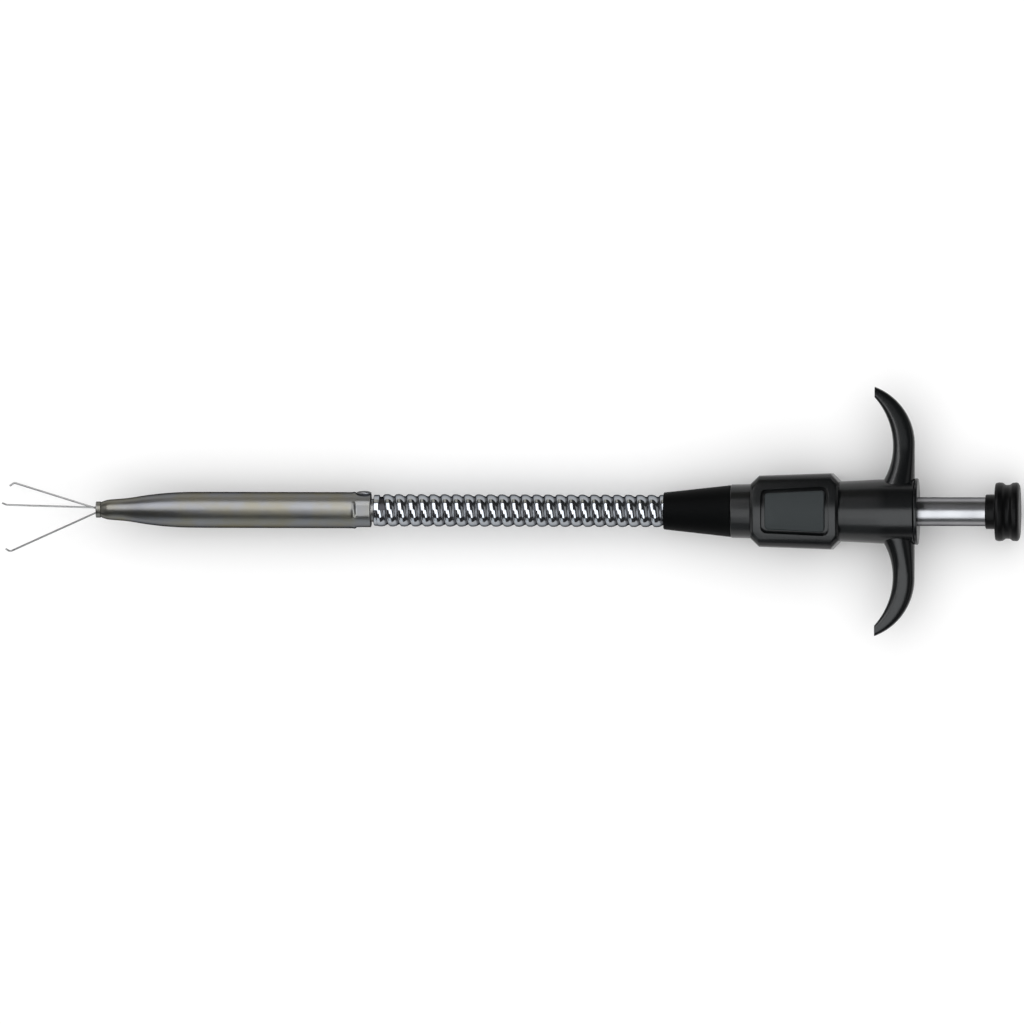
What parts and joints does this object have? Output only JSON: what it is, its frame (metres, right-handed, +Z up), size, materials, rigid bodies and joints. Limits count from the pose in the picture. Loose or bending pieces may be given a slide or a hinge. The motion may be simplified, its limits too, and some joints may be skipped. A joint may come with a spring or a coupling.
{
  "type": "flexible claw grasper",
  "caption": "Hand-held flexible pick-up tool: sprung wire claws open from a slim steel nozzle on a bendable metal hose when the thumb knob is pressed",
  "frame": {"origin": "centre of the flat underside of the handle's housing", "axes": "+X from the claws to the thumb knob, +Y across the finger wings, +Z up through the bare panel"},
  "size_m": [0.2592, 0.0636, 0.019],
  "materials": {
    "spring_wire": "drawn spring steel wire, satin",
    "nozzle_steel": "satin nickel-plated steel, slightly warm",
    "hose_chrome": "bright zinc-chrome plated strip",
    "inner_brass": "turned, plain",
    "rod_steel": "ground and polished",
    "black_cone": "matt black moulding",
    "handle_plastic": "semi-gloss black moulding",
    "panel_grey": "flat matt dark grey, bare",
    "knob_black": "matt black, slightly soft"
  },
  "bodies": {
    "handle": {"handle_body": "handle_plastic", "inset_panel": "panel_grey", "end_cap": "handle_plastic", "return_spring": "spring_wire", "hose_anchor": "inner_brass", "strain_cone": "black_cone", "locking_collar": "handle_plastic", "hose_link_01": "hose_chrome"},
    "plunger": {"plunger_rod": "rod_steel", "retaining_ring": "rod_steel", "spring_washer": "rod_steel", "cable_nipple": "inner_brass", "pull_cable": "spring_wire", "thumb_knob": "knob_black"},
    "hose_turns_02": {"hose_link_02": "hose_chrome"},
    "hose_turns_03": {"hose_link_03": "hose_chrome"},
    "hose_turns_04": {"hose_link_04": "hose_chrome"},
    "hose_turns_05": {"hose_link_05": "hose_chrome"},
    "hose_turns_06": {"hose_link_06": "hose_chrome"},
    "hose_turns_07": {"hose_link_07": "hose_chrome"},
    "hose_turns_08": {"hose_link_08": "hose_chrome"},
    "hose_turns_09": {"hose_link_09": "hose_chrome"},
    "hose_turns_10": {"hose_link_10": "hose_chrome"},
    "hose_turns_11": {"hose_link_11": "hose_chrome"},
    "hose_turns_12": {"hose_link_12": "hose_chrome"},
    "nozzle": {"nozzle": "nozzle_steel", "nozzle_bush": "inner_brass"},
    "claw_carrier": {"claw_carrier": "inner_brass", "claw_cable": "spring_wire"},
    "claw_upper": {"claw_upper": "spring_wire"},
    "claw_middle": {"claw_middle": "spring_wire"},
    "claw_lower": {"claw_lower": "spring_wire"}
  },
  "joints": [
    {"name": "plunger_slide", "type": "slide", "parent": "handle", "child": "plunger", "axis": [1, 0, 0], "range_m": [0, 0.018], "deforming": ["return_spring", "pull_cable", "claw_cable"]},
    {"name": "hose_sway_1", "type": "hinge", "parent": "handle", "child": "hose_turns_02", "pos_m": [-0.04344, 0, 0.0092], "axis": [0, 0, 1], "range_deg": [-10, 10]},
    {"name": "hose_bow_1", "type": "hinge", "parent": "hose_turns_02", "child": "hose_turns_03", "pos_m": [-0.0493, 0, 0.0092], "axis": [0, 1, 0], "range_deg": [-10, 10]},
    {"name": "hose_sway_2", "type": "hinge", "parent": "hose_turns_03", "child": "hose_turns_04", "pos_m": [-0.05516, 0, 0.0092], "axis": [0, 0, 1], "range_deg": [-10, 10]},
    {"name": "hose_bow_2", "type": "hinge", "parent": "hose_turns_04", "child": "hose_turns_05", "pos_m": [-0.06102, 0, 0.0092], "axis": [0, 1, 0], "range_deg": [-10, 10]},
    {"name": "hose_sway_3", "type": "hinge", "parent": "hose_turns_05", "child": "hose_turns_06", "pos_m": [-0.06688, 0, 0.0092], "axis": [0, 0, 1], "range_deg": [-10, 10]},
    {"name": "hose_bow_3", "type": "hinge", "parent": "hose_turns_06", "child": "hose_turns_07", "pos_m": [-0.07274, 0, 0.0092], "axis": [0, 1, 0], "range_deg": [-10, 10]},
    {"name": "hose_sway_4", "type": "hinge", "parent": "hose_turns_07", "child": "hose_turns_08", "pos_m": [-0.0786, 0, 0.0092], "axis": [0, 0, 1], "range_deg": [-10, 10]},
    {"name": "hose_bow_4", "type": "hinge", "parent": "hose_turns_08", "child": "hose_turns_09", "pos_m": [-0.08446, 0, 0.0092], "axis": [0, 1, 0], "range_deg": [-10, 10]},
    {"name": "hose_sway_5", "type": "hinge", "parent": "hose_turns_09", "child": "hose_turns_10", "pos_m": [-0.09032, 0, 0.0092], "axis": [0, 0, 1], "range_deg": [-10, 10]},
    {"name": "hose_bow_5", "type": "hinge", "parent": "hose_turns_10", "child": "hose_turns_11", "pos_m": [-0.09618, 0, 0.0092], "axis": [0, 1, 0], "range_deg": [-10, 10]},
    {"name": "hose_sway_6", "type": "hinge", "parent": "hose_turns_11", "child": "hose_turns_12", "pos_m": [-0.10204, 0, 0.0092], "axis": [0, 0, 1], "range_deg": [-10, 10]},
    {"name": "hose_bow_6", "type": "hinge", "parent": "hose_turns_12", "child": "nozzle", "pos_m": [-0.1079, 0, 0.0092], "axis": [0, 1, 0], "range_deg": [-10, 10]},
    {"name": "carrier_slide", "type": "slide", "parent": "nozzle", "child": "claw_carrier", "axis": [1, 0, 0], "range_m": [0, 0.018]},
    {"name": "claw_upper_turn", "type": "hinge", "parent": "nozzle", "child": "claw_upper", "pos_m": [-0.16766, 0.03636, -0.02192], "axis": [0, 0.6428, 0.766], "range_deg": [0, 21.51]},
    {"name": "claw_middle_turn", "type": "hinge", "parent": "nozzle", "child": "claw_middle", "pos_m": [-0.1677, 0.00373, 0.0558], "axis": [0, -0.9976, 0.0698], "range_deg": [0, 22.01]},
    {"name": "claw_lower_turn", "type": "hinge", "parent": "nozzle", "child": "claw_lower", "pos_m": [-0.16809, -0.0361, -0.00636], "axis": [0, 0.4067, -0.9135], "range_deg": [0, 26.01]}
  ],
  "couplings": [
    {"joint": "hose_sway_2", "follows": "hose_sway_1", "ratio": 1},
    {"joint": "hose_bow_2", "follows": "hose_bow_1", "ratio": 1},
    {"joint": "hose_sway_3", "follows": "hose_sway_1", "ratio": 1},
    {"joint": "hose_bow_3", "follows": "hose_bow_1", "ratio": 1},
    {"joint": "hose_sway_4", "follows": "hose_sway_1", "ratio": 1},
    {"joint": "hose_bow_4", "follows": "hose_bow_1", "ratio": 1},
    {"joint": "hose_sway_5", "follows": "hose_sway_1", "ratio": 1},
    {"joint": "hose_bow_5", "follows": "hose_bow_1", "ratio": 1},
    {"joint": "hose_sway_6", "follows": "hose_sway_1", "ratio": 1},
    {"joint": "hose_bow_6", "follows": "hose_bow_1", "ratio": 1},
    {"joint": "carrier_slide", "follows": "plunger_slide", "ratio": 1},
    {"joint": "claw_upper_turn", "follows": "plunger_slide", "rad_per_m": 20.847},
    {"joint": "claw_middle_turn", "follows": "plunger_slide", "rad_per_m": 21.332},
    {"joint": "claw_lower_turn", "follows": "plunger_slide", "rad_per_m": 25.21}
  ]
}
